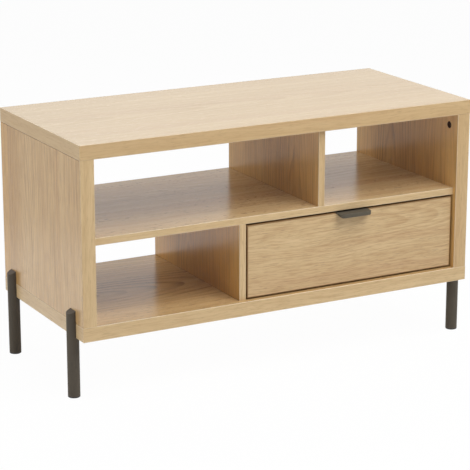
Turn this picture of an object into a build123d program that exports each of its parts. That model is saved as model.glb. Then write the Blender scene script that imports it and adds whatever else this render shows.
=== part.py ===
from build123d import *
import os

# TV stand with three open bays and one drawer, in millimetres.
# X runs to the right, Y to the rear, Z up; the origin is on the floor under the middle.

# Carcass
WIDTH = 900.0
DEPTH = 400.0
HEIGHT = 520.0
LEG_HEIGHT = 125.0
BOARD = 30.0
INNER = 15.0
SETBACK = 12.0
UPPER_LEFT_BAY = 507.0
LOWER_LEFT_BAY = 323.0

# Edge bands
BAND = 1.5
BAND_ROUND = 1.2
SEAM = 0.1

# Fibreboard panels in grooves
SHEET = 3.0
GROOVE = 6.0
SHEET_FIT = 0.15
BACK_INSET = 20.0

# Fittings in the boards
FIT = 0.1
CAM_R = 7.5
CAM_DEEP = 12.5
CAM_AXIS = INNER / 2
CAM_IN = 27.0
CAM_EDGE = 32.0
BOLT_R = 3.2
THREAD_R = 2.6
THREAD_IN = 11.0
DOWEL_R = 4.0
DOWEL_FACE = 11.0
DOWEL_END = 19.0
SCREW_R = 3.4
SCREW_LONG = 47.0
HEAD_R = 4.8
HEAD_HIGH = 3.0

# Legs
LEG_R = 12.5
LEG_WALL = 2.0
LEG_OUT = 1.5
LEG_EDGE = 48.0
LEG_RISE = 56.0
LEG_CAP = 2.0
LEG_DROP = 6.0
PLATE = 3.0
PLATE_LONG = 50.0
PLATE_WIDE = 56.0
PLATE_ROUND = 8.0
PLATE_SCREW_IN = 10.0
GLIDE = 3.0
GLIDE_PLUG = 12.0
WOOD_SCREW_R = 2.0
WOOD_SCREW_LONG = 16.0

# Drawer
DRAWER_GAP = 3.0
DRAWER_HEADROOM = 4.0
BOX = 12.0
BOX_HIGH = 105.0
BOX_ARRIS = 1.0
BACK_CLEAR = 13.5
BOX_LIFT = 18.0
BOTTOM_LIFT = 10.0
BOX_CAM_R = 6.0
BOX_CAM_DEEP = 10.0
BOX_CAM_IN = 24.0
BOX_BOLT_R = 2.6
BOX_THREAD_R = 2.1

# Handle
PULL_WIDE = 78.0
PULL_OUT = 20.0
PULL_DROP = 8.0
PULL_WALL = 2.0
PULL_ROUND = 12.0
PULL_FLANGE = 16.0
PULL_FIT = 0.2

# Roller runners
RUN = 12.5
STEEL = 1.2
BEND = 1.2
ROLL_R = 11.0
ROLL_WIDE = 6.6
ROLL_GAP = 0.3
ROLL_SIDE = 0.8
ROLL_CHAMFER = 0.6
ROLL_RECESS = 1.0
ROLL_FROM_FRONT = 6.0
ROLL_FROM_REAR = 3.0
RIVET_R = 2.5
RIVET_FIT = 0.05
RIVET_HEAD_R = 4.0
RIVET_HEAD = 0.6
RAIL_PLAY = 1.0
RAIL_UNDER = 4.0
RAIL_BACK_OFF = 2.0
RAIL_LIP = 8.3
RAIL_TRACK = 10.3
RAIL_SCREW_END = 50.0
PROFILE_LIP = 9.0
PROFILE_SCREW_END = 35.0
PIN_SCREW_R = 1.75
PIN_HEAD_R = 3.2
PIN_HEAD = 1.2
PIN_LONG = 10.0

# Levels and faces that follow from the sizes
BASE_Z = LEG_HEIGHT + BOARD
ROOF_Z = HEIGHT - BOARD
SHELF_Z = (BASE_Z + ROOF_Z - INNER) / 2
SHELF_TOP = SHELF_Z + INNER
SHELF_MID = SHELF_Z + INNER / 2
INSIDE = WIDTH / 2 - BOARD
SIDE_MID = WIDTH / 2 - BOARD / 2
FRONT = -DEPTH / 2
REAR = DEPTH / 2
FACE_Y = FRONT + SETBACK
UPPER_X = UPPER_LEFT_BAY - INSIDE + INNER / 2
LOWER_X = LOWER_LEFT_BAY - INSIDE + INNER / 2
NICHE_X = LOWER_X + INNER / 2
BACK_Y = REAR - BACK_INSET
CAM_YS = (FRONT + CAM_EDGE, REAR - CAM_EDGE)
INNER_CAM_YS = (FACE_Y + CAM_EDGE, REAR - CAM_EDGE - BACK_INSET)
DOWEL_YS = (-DEPTH / 8, DEPTH / 8)
SCREW_YS = (-DEPTH / 4, DEPTH / 4)
SIDES = (("left", -1), ("right", 1))
ENDS = (("front", -1), ("rear", 1))
UP = (0, 0, 1)
DOWN = (0, 0, -1)
LOW_END = (Align.CENTER, Align.CENTER, Align.MIN)
HIGH_END = (Align.CENTER, Align.CENTER, Align.MAX)


def places(normal, points):
    """Planes at the points, each looking along the normal."""
    return [Plane(point, z_dir=normal) for point in points]


def bore(normal, radius, depth, points):
    """Blind round holes into a face with this outward normal."""
    with Locations(*places(normal, points)):
        Hole(radius, depth)


def band(start, run, outward, length, thickness):
    """One edge band: rounded strip from the start point along its run."""
    with BuildSketch(Plane(start, x_dir=outward, z_dir=run)) as section:
        Rectangle(BAND, thickness, align=(Align.MIN, Align.CENTER))
        fillet(section.vertices().group_by(Axis.X)[-1], BAND_ROUND)
    extrude(section.sketch, amount=length)


def save(piece, name):
    """Name a sub-part and write its file."""
    piece.part.label = name
    export_step(piece.part, f"parts/{name}.step")


os.makedirs("parts", exist_ok=True)

# Points where the boards are joined
SIDE_CAM_X = INSIDE + CAM_AXIS
SIDE_BOLTS = [(s * SIDE_CAM_X, y) for _, s in SIDES for y in CAM_YS]
SIDE_DOWELS = [(s * SIDE_MID, y) for _, s in SIDES for y in DOWEL_YS]
SIDE_SCREWS = [(s * SIDE_MID, y) for _, s in SIDES for y in SCREW_YS]
UPPER_BOLTS = [(UPPER_X, y) for y in INNER_CAM_YS]
UPPER_DOWELS = [(UPPER_X, y) for y in DOWEL_YS]
UPPER_SCREWS = [(UPPER_X, y) for y in SCREW_YS]
LOWER_BOLTS = [(LOWER_X, y) for y in INNER_CAM_YS]
LOWER_DOWELS = [(LOWER_X, y) for y in DOWEL_YS]
LOWER_SCREWS = [(LOWER_X, y) for y in SCREW_YS]


def at(points, z):
    """Plan points lifted to one level."""
    return [(x, y, z) for x, y in points]


# Legs: axis just outside the outer faces of the sides
LEG_X = WIDTH / 2 + LEG_OUT
LEG_STANDS = LEG_OUT + LEG_R
LEG_TOP = LEG_HEIGHT + LEG_RISE
LEG_Y = DEPTH / 2 - LEG_EDGE
PLATE_Z = LEG_HEIGHT - PLATE
PLATE_X = LEG_X - LEG_R - PLATE_LONG / 2
PLATE_SCREWS = [
    (s * (PLATE_X + i * (PLATE_LONG / 2 - PLATE_SCREW_IN)), e * LEG_Y + j * (PLATE_WIDE / 2 - PLATE_SCREW_IN))
    for _, s in SIDES
    for _, e in ENDS
    for i, j in ((1, -1), (1, 1), (-1, 0))
]

# Drawer and runner levels
FRONT_LOW = BASE_Z + DRAWER_GAP
FRONT_TOP = SHELF_Z - DRAWER_HEADROOM
FRONT_LEFT = NICHE_X + DRAWER_GAP
FRONT_RIGHT = INSIDE - DRAWER_GAP
FRONT_MID_X = (FRONT_LEFT + FRONT_RIGHT) / 2
FRONT_MID_Z = (FRONT_LOW + FRONT_TOP) / 2
BOX_Y = FACE_Y + INNER
BOX_REAR = BACK_Y - SHEET / 2 - BACK_CLEAR
BOX_DEEP = BOX_REAR - BOX_Y
BOX_Z = FRONT_LOW + BOX_LIFT
BOX_TOP = BOX_Z + BOX_HIGH
BOX_LEFT = NICHE_X + RUN
BOX_RIGHT = INSIDE - RUN
BOX_MID = (BOX_LEFT + BOX_RIGHT) / 2
BOX_INNER = BOX_RIGHT - BOX_LEFT - 2 * BOX
BOTTOM_Z = BOX_Z + BOTTOM_LIFT
BOX_CAM_ZS = (BOX_Z + BOX_HIGH / 3, BOX_TOP - BOX_HIGH / 5)
BOX_DOWEL_Z = sum(BOX_CAM_ZS) / 2
RAIL_Z = BOX_Z - RAIL_UNDER
RAIL_HIGH = 2 * ROLL_R + 2 * ROLL_GAP + 3 * STEEL + RAIL_PLAY
RAIL_FRONT = BOX_Y + RAIL_BACK_OFF
RAIL_REAR = BOX_REAR + RAIL_BACK_OFF
RAIL_SCREW_Z = RAIL_Z + RAIL_HIGH / 2
RAIL_SCREW_YS = (RAIL_FRONT + RAIL_SCREW_END, 0, RAIL_REAR - RAIL_SCREW_END)
FIXED_ROLL_Y = RAIL_FRONT + ROLL_R + ROLL_FROM_FRONT
FIXED_ROLL_Z = RAIL_Z + STEEL + ROLL_GAP + ROLL_R
TREAD_Z = FIXED_ROLL_Z + ROLL_R + ROLL_GAP
MOVING_ROLL_Y = BOX_REAR - ROLL_R - ROLL_FROM_REAR
TREAD_REAR = MOVING_ROLL_Y - ROLL_R - ROLL_FROM_REAR
RIVET_LONG = STEEL + ROLL_SIDE + ROLL_WIDE + ROLL_GAP
PROFILE_SCREW_Z = BOX_Z + BOTTOM_LIFT / 2
PROFILE_SCREW_YS = (BOX_Y + PROFILE_SCREW_END, 0, MOVING_ROLL_Y - PROFILE_SCREW_END)
RUNS = (("left", -1, NICHE_X), ("right", 1, INSIDE))

# Top panel: boards hang from cam bolts and dowels under it
with BuildPart() as top_panel:
    with BuildSketch(Plane.XY.offset(ROOF_Z)):
        Rectangle(WIDTH - 2 * BAND, DEPTH - 2 * BAND)
    extrude(amount=BOARD)
    bore(DOWN, THREAD_R + FIT, THREAD_IN, at(SIDE_BOLTS + UPPER_BOLTS, ROOF_Z))
    bore(DOWN, DOWEL_R + FIT, DOWEL_FACE, at(SIDE_DOWELS + UPPER_DOWELS, ROOF_Z))
save(top_panel, "top_panel")

# Bottom panel: screwed up into the sides and the lower divider
with BuildPart() as bottom_panel:
    with BuildSketch(Plane.XY.offset(LEG_HEIGHT)):
        Rectangle(WIDTH - 2 * BAND, DEPTH - 2 * BAND)
    extrude(amount=BOARD)
    with Locations(*places(DOWN, at(SIDE_SCREWS + LOWER_SCREWS, LEG_HEIGHT))):
        CounterBoreHole(SCREW_R + FIT, HEAD_R + FIT, BOARD - INNER)
    bore(UP, DOWEL_R + FIT, DOWEL_FACE, at(SIDE_DOWELS + LOWER_DOWELS, BASE_Z))
    bore(DOWN, WOOD_SCREW_R + FIT, WOOD_SCREW_LONG, at(PLATE_SCREWS, LEG_HEIGHT))
    with BuildSketch(Plane.XY.offset(BASE_Z)):
        with Locations(((NICHE_X + INSIDE) / 2, BACK_Y)):
            Rectangle(INSIDE - NICHE_X + 2 * GROOVE, SHEET + 2 * SHEET_FIT)
    extrude(amount=-GROOVE, mode=Mode.SUBTRACT)
save(bottom_panel, "bottom_panel")

# Four bands round the top and round the bottom, rounded off at the corners
for board, level in (("top_panel", ROOF_Z), ("bottom_panel", LEG_HEIGHT)):
    with BuildPart() as board_edging:
        for _, e in ENDS:
            start = (-WIDTH / 2, e * (REAR - BAND), level + BOARD / 2)
            band(start, (1, 0, 0), (0, e, 0), WIDTH, BOARD)
        for _, s in SIDES:
            start = (s * (WIDTH / 2 - BAND), FRONT + BAND + SEAM, level + BOARD / 2)
            band(start, (0, 1, 0), (s, 0, 0), DEPTH - 2 * BAND - 2 * SEAM, BOARD)
        with BuildSketch(Plane.XY.offset(level)):
            Rectangle(WIDTH + BOARD, DEPTH + BOARD)
            RectangleRounded(WIDTH, DEPTH, BAND_ROUND, mode=Mode.SUBTRACT)
        extrude(amount=BOARD, mode=Mode.SUBTRACT)
    save(board_edging, f"{board}_edging")

# Side panels between top and bottom
for side, s in SIDES:
    inward = (-s, 0, 0)
    with BuildPart() as side_panel:
        with BuildSketch(Plane.XY.offset(BASE_Z)):
            with Locations((s * SIDE_MID, 0)):
                Rectangle(BOARD, DEPTH - 2 * BAND)
        extrude(amount=ROOF_Z - BASE_Z)
        bore(inward, CAM_R + FIT, CAM_DEEP, [(s * INSIDE, y, ROOF_Z - CAM_IN) for y in CAM_YS])
        bore(UP, BOLT_R + FIT, CAM_IN, [(s * SIDE_CAM_X, y, ROOF_Z) for y in CAM_YS])
        bore(UP, DOWEL_R + FIT, DOWEL_END, [(s * SIDE_MID, y, ROOF_Z) for y in DOWEL_YS])
        bore(DOWN, DOWEL_R + FIT, DOWEL_END, [(s * SIDE_MID, y, BASE_Z) for y in DOWEL_YS])
        bore(DOWN, SCREW_R + FIT, SCREW_LONG - INNER, [(s * SIDE_MID, y, BASE_Z) for y in SCREW_YS])
        bore(inward, THREAD_R + FIT, THREAD_IN, [(s * INSIDE, y, SHELF_MID) for y in INNER_CAM_YS])
        bore(inward, DOWEL_R + FIT, DOWEL_FACE, [(s * INSIDE, y, SHELF_MID) for y in DOWEL_YS])
        if s > 0:
            bore(inward, PIN_SCREW_R + FIT, PIN_LONG, [(INSIDE, y, RAIL_SCREW_Z) for y in RAIL_SCREW_YS])
            with BuildSketch(Plane.XY.offset(BASE_Z)):
                with Locations((INSIDE + GROOVE / 2, BACK_Y)):
                    Rectangle(GROOVE, SHEET + 2 * SHEET_FIT)
            extrude(amount=SHELF_Z + GROOVE - BASE_Z, mode=Mode.SUBTRACT)
    save(side_panel, f"{side}_side_panel")
    with BuildPart() as side_edging:
        for _, e in ENDS:
            start = (s * SIDE_MID, e * (REAR - BAND), BASE_Z)
            band(start, UP, (0, e, 0), ROOF_Z - BASE_Z, BOARD)
    save(side_edging, f"{side}_side_edging")

# Middle shelf: cams in its underside, groove for the drawer bay's back
with BuildPart() as middle_shelf:
    with BuildSketch(Plane.XY.offset(SHELF_Z)):
        with Locations((0, SETBACK / 2)):
            Rectangle(2 * INSIDE, DEPTH - SETBACK - 2 * BAND)
    extrude(amount=INNER)
    for _, s in SIDES:
        outward = (s, 0, 0)
        bore(DOWN, CAM_R + FIT, CAM_DEEP, [(s * (INSIDE - CAM_IN), y, SHELF_Z) for y in INNER_CAM_YS])
        bore(outward, BOLT_R + FIT, CAM_IN, [(s * INSIDE, y, SHELF_MID) for y in INNER_CAM_YS])
        bore(outward, DOWEL_R + FIT, DOWEL_END, [(s * INSIDE, y, SHELF_MID) for y in DOWEL_YS])
    with Locations(*places(DOWN, at(UPPER_SCREWS, SHELF_Z))):
        CounterBoreHole(SCREW_R + FIT, HEAD_R + FIT, HEAD_HIGH)
    bore(DOWN, THREAD_R + FIT, THREAD_IN, at(LOWER_BOLTS, SHELF_Z))
    bore(DOWN, DOWEL_R + FIT, DOWEL_FACE, at(LOWER_DOWELS, SHELF_Z))
    with BuildSketch(Plane.XY.offset(SHELF_Z)):
        with Locations(((NICHE_X - GROOVE + INSIDE) / 2, BACK_Y)):
            Rectangle(INSIDE - NICHE_X + GROOVE, SHEET + 2 * SHEET_FIT)
    extrude(amount=GROOVE, mode=Mode.SUBTRACT)
save(middle_shelf, "middle_shelf")

with BuildPart() as middle_shelf_edging:
    band((-INSIDE, FACE_Y + BAND, SHELF_MID), (1, 0, 0), (0, -1, 0), 2 * INSIDE, INNER)
    band((-INSIDE, REAR - BAND, SHELF_MID), (1, 0, 0), (0, 1, 0), 2 * INSIDE, INNER)
save(middle_shelf_edging, "middle_shelf_edging")

# Upper divider: cams under the top, screws up through the shelf
with BuildPart() as upper_divider:
    with BuildSketch(Plane.XY.offset(SHELF_TOP)):
        with Locations((UPPER_X, SETBACK / 2)):
            Rectangle(INNER, DEPTH - SETBACK - 2 * BAND)
    extrude(amount=ROOF_Z - SHELF_TOP)
    face = UPPER_X + INNER / 2
    bore((1, 0, 0), CAM_R + FIT, CAM_DEEP, [(face, y, ROOF_Z - CAM_IN) for y in INNER_CAM_YS])
    bore(UP, BOLT_R + FIT, CAM_IN, at(UPPER_BOLTS, ROOF_Z))
    bore(UP, DOWEL_R + FIT, DOWEL_END, at(UPPER_DOWELS, ROOF_Z))
    bore(DOWN, SCREW_R + FIT, SCREW_LONG - INNER + HEAD_HIGH, at(UPPER_SCREWS, SHELF_TOP))
save(upper_divider, "upper_divider")

# Lower divider: cams under the shelf, screws up through the bottom, left wall of the drawer bay
with BuildPart() as lower_divider:
    with BuildSketch(Plane.XY.offset(BASE_Z)):
        with Locations((LOWER_X, SETBACK / 2)):
            Rectangle(INNER, DEPTH - SETBACK - 2 * BAND)
    extrude(amount=SHELF_Z - BASE_Z)
    bore((1, 0, 0), CAM_R + FIT, CAM_DEEP, [(NICHE_X, y, SHELF_Z - CAM_IN) for y in INNER_CAM_YS])
    bore(UP, BOLT_R + FIT, CAM_IN, at(LOWER_BOLTS, SHELF_Z))
    bore(UP, DOWEL_R + FIT, DOWEL_END, at(LOWER_DOWELS, SHELF_Z))
    bore(DOWN, DOWEL_R + FIT, DOWEL_END, at(LOWER_DOWELS, BASE_Z))
    bore(DOWN, SCREW_R + FIT, SCREW_LONG - INNER, at(LOWER_SCREWS, BASE_Z))
    bore((1, 0, 0), PIN_SCREW_R + FIT, PIN_LONG, [(NICHE_X, y, RAIL_SCREW_Z) for y in RAIL_SCREW_YS])
    with BuildSketch(Plane.XY.offset(BASE_Z)):
        with Locations((NICHE_X - GROOVE / 2, BACK_Y)):
            Rectangle(GROOVE, SHEET + 2 * SHEET_FIT)
    extrude(amount=SHELF_Z - BASE_Z, mode=Mode.SUBTRACT)
save(lower_divider, "lower_divider")

# Bands on the front and rear edges of the dividers
for name, x, low, high in (
    ("upper_divider_edging", UPPER_X, SHELF_TOP, ROOF_Z),
    ("lower_divider_edging", LOWER_X, BASE_Z, SHELF_Z),
):
    with BuildPart() as divider_edging:
        band((x, FACE_Y + BAND, low), UP, (0, -1, 0), high - low, INNER)
        band((x, REAR - BAND, low), UP, (0, 1, 0), high - low, INNER)
    save(divider_edging, name)

# Fibreboard back of the drawer bay, standing in the groove of the bottom
with BuildPart() as drawer_bay_back:
    with BuildSketch(Plane.XZ.offset(-BACK_Y)):
        with Locations(((NICHE_X + INSIDE) / 2, BASE_Z - GROOVE)):
            Rectangle(
                INSIDE - NICHE_X + 2 * GROOVE - 2 * SHEET_FIT,
                SHELF_Z - BASE_Z + 2 * GROOVE - SHEET_FIT,
                align=(Align.CENTER, Align.MIN),
            )
    extrude(amount=SHEET / 2, both=True)
save(drawer_bay_back, "drawer_bay_back")

# Cam discs, cross drilled for the bolt heads
CAM_PLACES = (
    [Plane((s * INSIDE, y, ROOF_Z - CAM_IN), x_dir=UP, z_dir=(-s, 0, 0)) for _, s in SIDES for y in CAM_YS]
    + [
        Plane((s * (INSIDE - CAM_IN), y, SHELF_Z), x_dir=(s, 0, 0), z_dir=DOWN)
        for _, s in SIDES
        for y in INNER_CAM_YS
    ]
    + [Plane((UPPER_X + INNER / 2, y, ROOF_Z - CAM_IN), x_dir=UP, z_dir=(1, 0, 0)) for y in INNER_CAM_YS]
    + [Plane((NICHE_X, y, SHELF_Z - CAM_IN), x_dir=UP, z_dir=(1, 0, 0)) for y in INNER_CAM_YS]
)
with BuildPart() as carcass_cams:
    with Locations(*CAM_PLACES):
        Cylinder(CAM_R, CAM_DEEP, align=HIGH_END)
        with Locations((CAM_R, 0, -CAM_AXIS)):
            Cylinder(
                BOLT_R + 3 * FIT, 1.5 * CAM_R, rotation=(0, -90, 0), align=LOW_END, mode=Mode.SUBTRACT
            )
save(carcass_cams, "carcass_cams")

# Cam bolts: thread in the face of one board, ball head inside the cam of the other
BOLT_PLACES = (
    places(DOWN, at(SIDE_BOLTS + UPPER_BOLTS, ROOF_Z))
    + [Plane((s * INSIDE, y, SHELF_MID), z_dir=(-s, 0, 0)) for _, s in SIDES for y in INNER_CAM_YS]
    + places(DOWN, at(LOWER_BOLTS, SHELF_Z))
)
with BuildPart() as carcass_cam_bolts:
    with Locations(*BOLT_PLACES):
        Cylinder(THREAD_R, THREAD_IN, align=HIGH_END)
        Cylinder(BOLT_R, CAM_IN, align=LOW_END)
save(carcass_cam_bolts, "carcass_cam_bolts")

# Wooden dowels across the joints
DOWEL_PLACES = (
    places(UP, at(SIDE_DOWELS + UPPER_DOWELS, ROOF_Z + DOWEL_FACE))
    + places(DOWN, at(SIDE_DOWELS + LOWER_DOWELS, BASE_Z - DOWEL_FACE))
    + places(UP, at(LOWER_DOWELS, SHELF_Z + DOWEL_FACE))
    + [Plane((s * (INSIDE + DOWEL_FACE), y, SHELF_MID), z_dir=(s, 0, 0)) for _, s in SIDES for y in DOWEL_YS]
)
with BuildPart() as carcass_dowels:
    with Locations(*DOWEL_PLACES):
        Cylinder(DOWEL_R, DOWEL_FACE + DOWEL_END, align=HIGH_END)
save(carcass_dowels, "carcass_dowels")

# Screws up through the bottom and up through the shelf
SCREW_PLACES = places(UP, at(SIDE_SCREWS + LOWER_SCREWS, BASE_Z - INNER)) + places(
    UP, at(UPPER_SCREWS, SHELF_Z + HEAD_HIGH)
)
with BuildPart() as carcass_screws:
    with Locations(*SCREW_PLACES):
        Cylinder(SCREW_R, SCREW_LONG, align=LOW_END)
        Cylinder(HEAD_R, HEAD_HIGH, align=HIGH_END)
save(carcass_screws, "carcass_screws")

# Legs: tube notched to pass under the bottom and up the side, closed by a top that slants down outwards
for end, e in ENDS:
    for side, s in SIDES:
        slant = Plane((s * WIDTH / 2, e * LEG_Y, LEG_TOP), x_dir=(0, 1, 0), z_dir=(s * LEG_DROP, 0, LEG_STANDS))
        with BuildPart() as leg:
            with BuildSketch(Plane.XY.offset(GLIDE)):
                with Locations((s * LEG_X, e * LEG_Y)):
                    Circle(LEG_R)
            extrude(amount=LEG_TOP + LEG_R - GLIDE)
            split(bisect_by=slant, keep=Keep.BOTTOM)
            fillet(leg.faces().sort_by(Axis.Z)[-1].edges(), LEG_CAP / 3)
            with BuildSketch(Plane.XY.offset(GLIDE)):
                with Locations((s * LEG_X, e * LEG_Y)):
                    Circle(LEG_R - LEG_WALL)
            extrude(amount=LEG_TOP - LEG_DROP - LEG_CAP - GLIDE, mode=Mode.SUBTRACT)
            with BuildSketch(Plane.XY.offset(PLATE_Z)):
                with Locations((s * (WIDTH / 2 - LEG_R), e * LEG_Y)):
                    Rectangle(2 * LEG_R, 3 * LEG_R)
            extrude(amount=LEG_RISE + PLATE + LEG_R, mode=Mode.SUBTRACT)
        save(leg, f"{end}_{side}_leg")

        # Plate welded on the shoulder and screwed under the bottom panel
        with BuildPart() as leg_plate:
            with BuildSketch(Plane.XY.offset(PLATE_Z)) as outline:
                with Locations((s * PLATE_X, e * LEG_Y)):
                    RectangleRounded(PLATE_LONG, PLATE_WIDE, PLATE_ROUND)
                with Locations((s * LEG_X, e * LEG_Y)):
                    Circle(LEG_R)
                    with Locations((-s * LEG_R, 0)):
                        Rectangle(2 * LEG_R, 2 * LEG_R)
                with Locations((s * (WIDTH / 2 + LEG_R), e * LEG_Y)):
                    Rectangle(2 * LEG_R, 3 * LEG_R, mode=Mode.SUBTRACT)
            extrude(amount=PLATE)
            holes = [p for p in PLATE_SCREWS if p[0] * s > 0 and p[1] * e > 0]
            with Locations(*places(DOWN, at(holes, PLATE_Z))):
                CounterSinkHole(WOOD_SCREW_R + FIT, 2 * WOOD_SCREW_R + FIT)
        save(leg_plate, f"{end}_{side}_leg_plate")

        # Plastic glide pushed into the foot of the tube
        with BuildPart() as leg_glide:
            with BuildSketch():
                with Locations((s * LEG_X, e * LEG_Y)):
                    Circle(LEG_R)
            extrude(amount=GLIDE)
            chamfer(leg_glide.edges().group_by(Axis.Z)[0], GLIDE / 4)
            with BuildSketch(Plane.XY.offset(GLIDE)):
                with Locations((s * LEG_X, e * LEG_Y)):
                    Circle(LEG_R - LEG_WALL - FIT)
            extrude(amount=GLIDE_PLUG)
        save(leg_glide, f"{end}_{side}_leg_glide")

with BuildPart() as leg_screws:
    with Locations(*places(UP, at(PLATE_SCREWS, PLATE_Z))):
        Cylinder(WOOD_SCREW_R, WOOD_SCREW_LONG + PLATE, align=LOW_END)
        Cone(2 * WOOD_SCREW_R, WOOD_SCREW_R, WOOD_SCREW_R, align=LOW_END)
save(leg_screws, "leg_screws")


def bent(plane, points, length):
    """Bent steel strip: its middle line in the plane, rounded at the bends, run for the length."""
    with BuildSketch(plane) as section:
        with BuildLine():
            FilletPolyline(*points, radius=BEND)
        trace(line_width=STEEL)
    extrude(section.sketch, amount=length)


def roller(centre, outward):
    """Nylon roller bored for its rivet, with a recessed web on both faces."""
    with Locations(*places(outward, [centre])):
        Cylinder(ROLL_R, ROLL_WIDE)
        for end in (-1, 1):
            with Locations((0, 0, end * ROLL_WIDE / 2)):
                Cylinder(ROLL_R - 2 * ROLL_RECESS, 2 * ROLL_RECESS, mode=Mode.SUBTRACT)
                Cylinder(RIVET_HEAD_R, ROLL_WIDE, align=LOW_END if end < 0 else HIGH_END)
        Hole(RIVET_R + RIVET_FIT)


# Runners: the rail on the bay wall, the profile on the drawer, one roller on each
for side, s, wall in RUNS:
    away = (-s, 0, 0)
    with BuildPart() as rail:
        web = wall - s * STEEL / 2
        track = RAIL_Z + STEEL / 2
        roof = RAIL_Z + RAIL_HIGH - STEEL / 2
        line = ((wall - s * RAIL_TRACK, track), (web, track), (web, roof), (wall - s * RAIL_LIP, roof))
        bent(Plane.XZ.offset(-RAIL_REAR), line, RAIL_REAR - RAIL_FRONT)
        bore(away, PIN_SCREW_R + FIT, STEEL, [(wall - s * STEEL, y, RAIL_SCREW_Z) for y in RAIL_SCREW_YS])
        bore(away, RIVET_R + FIT, STEEL, [(wall - s * STEEL, FIXED_ROLL_Y, FIXED_ROLL_Z)])
    save(rail, f"{side}_rail")

    with BuildPart() as rail_roller:
        roller((wall - s * (STEEL + ROLL_SIDE + ROLL_WIDE / 2), FIXED_ROLL_Y, FIXED_ROLL_Z), away)
        chamfer(rail_roller.edges().filter_by(GeomType.CIRCLE).group_by(SortBy.RADIUS)[-1], ROLL_CHAMFER)
    save(rail_roller, f"{side}_rail_roller")

    # The profile carries the drawer side on its foot and treads on the rail's roller with its lip
    with BuildPart() as profile:
        web = wall - s * (RUN - STEEL / 2)
        foot = BOX_Z - STEEL / 2
        tread = TREAD_Z + STEEL / 2
        line = ((wall - s * (RUN + BOX), foot), (web, foot), (web, tread), (wall - s * (RUN - PROFILE_LIP), tread))
        bent(Plane.XZ.offset(-BOX_REAR), line, BOX_DEEP)
        with BuildSketch(Plane.XZ.offset(-BOX_REAR)):
            with Locations((wall - s * (RUN - STEEL), TREAD_Z - BEND)):
                lip_end = Align.MIN if s > 0 else Align.MAX
                Rectangle(RUN, 2 * (STEEL + BEND), align=(lip_end, Align.MIN))
        extrude(amount=BOX_REAR - TREAD_REAR, mode=Mode.SUBTRACT)
        seat = wall - s * (RUN - STEEL)
        inner = wall - s * RUN
        bore(away, PIN_SCREW_R + FIT, STEEL, [(inner, y, PROFILE_SCREW_Z) for y in PROFILE_SCREW_YS])
        bore(away, RIVET_R + FIT, STEEL, [(inner, MOVING_ROLL_Y, FIXED_ROLL_Z)])
    save(profile, f"{side}_drawer_profile")

    with BuildPart() as drawer_roller:
        roller((seat + s * (ROLL_SIDE + ROLL_WIDE / 2), MOVING_ROLL_Y, FIXED_ROLL_Z), away)
        chamfer(drawer_roller.edges().filter_by(GeomType.CIRCLE).group_by(SortBy.RADIUS)[-1], ROLL_CHAMFER)
    save(drawer_roller, f"{side}_drawer_roller")

with BuildPart() as rail_rivets:
    for side, s, wall in RUNS:
        with Locations(*places((-s, 0, 0), [(wall, FIXED_ROLL_Y, FIXED_ROLL_Z)])):
            Cylinder(RIVET_R, RIVET_LONG, align=LOW_END)
            with Locations((0, 0, RIVET_LONG)):
                Cylinder(RIVET_HEAD_R, RIVET_HEAD, align=LOW_END)
save(rail_rivets, "rail_rivets")

with BuildPart() as profile_rivets:
    for side, s, wall in RUNS:
        with Locations(*places((s, 0, 0), [(wall - s * RUN, MOVING_ROLL_Y, FIXED_ROLL_Z)])):
            Cylinder(RIVET_R, RIVET_LONG, align=LOW_END)
            with Locations((0, 0, RIVET_LONG)):
                Cylinder(RIVET_HEAD_R, RIVET_HEAD, align=LOW_END)
save(profile_rivets, "profile_rivets")

with BuildPart() as rail_screws:
    for side, s, wall in RUNS:
        points = [(wall - s * STEEL, y, RAIL_SCREW_Z) for y in RAIL_SCREW_YS]
        with Locations(*places((-s, 0, 0), points)):
            Cylinder(PIN_SCREW_R, PIN_LONG, align=HIGH_END)
            Cylinder(PIN_HEAD_R, PIN_HEAD, align=LOW_END)
save(rail_screws, "rail_screws")

with BuildPart() as profile_screws:
    for side, s, wall in RUNS:
        points = [(wall - s * (RUN - STEEL), y, PROFILE_SCREW_Z) for y in PROFILE_SCREW_YS]
        with Locations(*places((s, 0, 0), points)):
            Cylinder(PIN_SCREW_R, PIN_LONG, align=HIGH_END)
            Cylinder(PIN_HEAD_R, PIN_HEAD, align=LOW_END)
save(profile_screws, "profile_screws")

# Drawer front: notched at the top for the handle, grooved behind for the bottom
with BuildPart() as drawer_front:
    with BuildSketch(Plane.XZ.offset(-BOX_Y)):
        with Locations((FRONT_MID_X, FRONT_MID_Z)):
            Rectangle(FRONT_RIGHT - FRONT_LEFT - 2 * BAND, FRONT_TOP - FRONT_LOW - 2 * BAND)
        with Locations((FRONT_MID_X, FRONT_TOP - PULL_WALL)):
            Rectangle(
                PULL_WIDE + 2 * PULL_FIT, BOARD, align=(Align.CENTER, Align.MIN), mode=Mode.SUBTRACT
            )
    extrude(amount=INNER)
    with BuildSketch(Plane.XZ.offset(-BOX_Y)):
        with Locations((BOX_MID, BOTTOM_Z)):
            Rectangle(BOX_INNER + 2 * GROOVE, SHEET + SHEET_FIT, align=(Align.CENTER, Align.MIN))
    extrude(amount=GROOVE, mode=Mode.SUBTRACT)
    for x in (BOX_LEFT + BOX / 2, BOX_RIGHT - BOX / 2):
        bore((0, 1, 0), BOX_THREAD_R + FIT, THREAD_IN, [(x, BOX_Y, z) for z in BOX_CAM_ZS])
        bore((0, 1, 0), DOWEL_R + FIT, DOWEL_FACE, [(x, BOX_Y, BOX_DOWEL_Z)])
    pins = [(FRONT_MID_X + i * PULL_WIDE / 3, BOX_Y, FRONT_TOP - PULL_FLANGE / 2) for i in (-1, 1)]
    bore((0, 1, 0), PIN_SCREW_R + FIT, PIN_LONG, pins)
save(drawer_front, "drawer_front")

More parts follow.
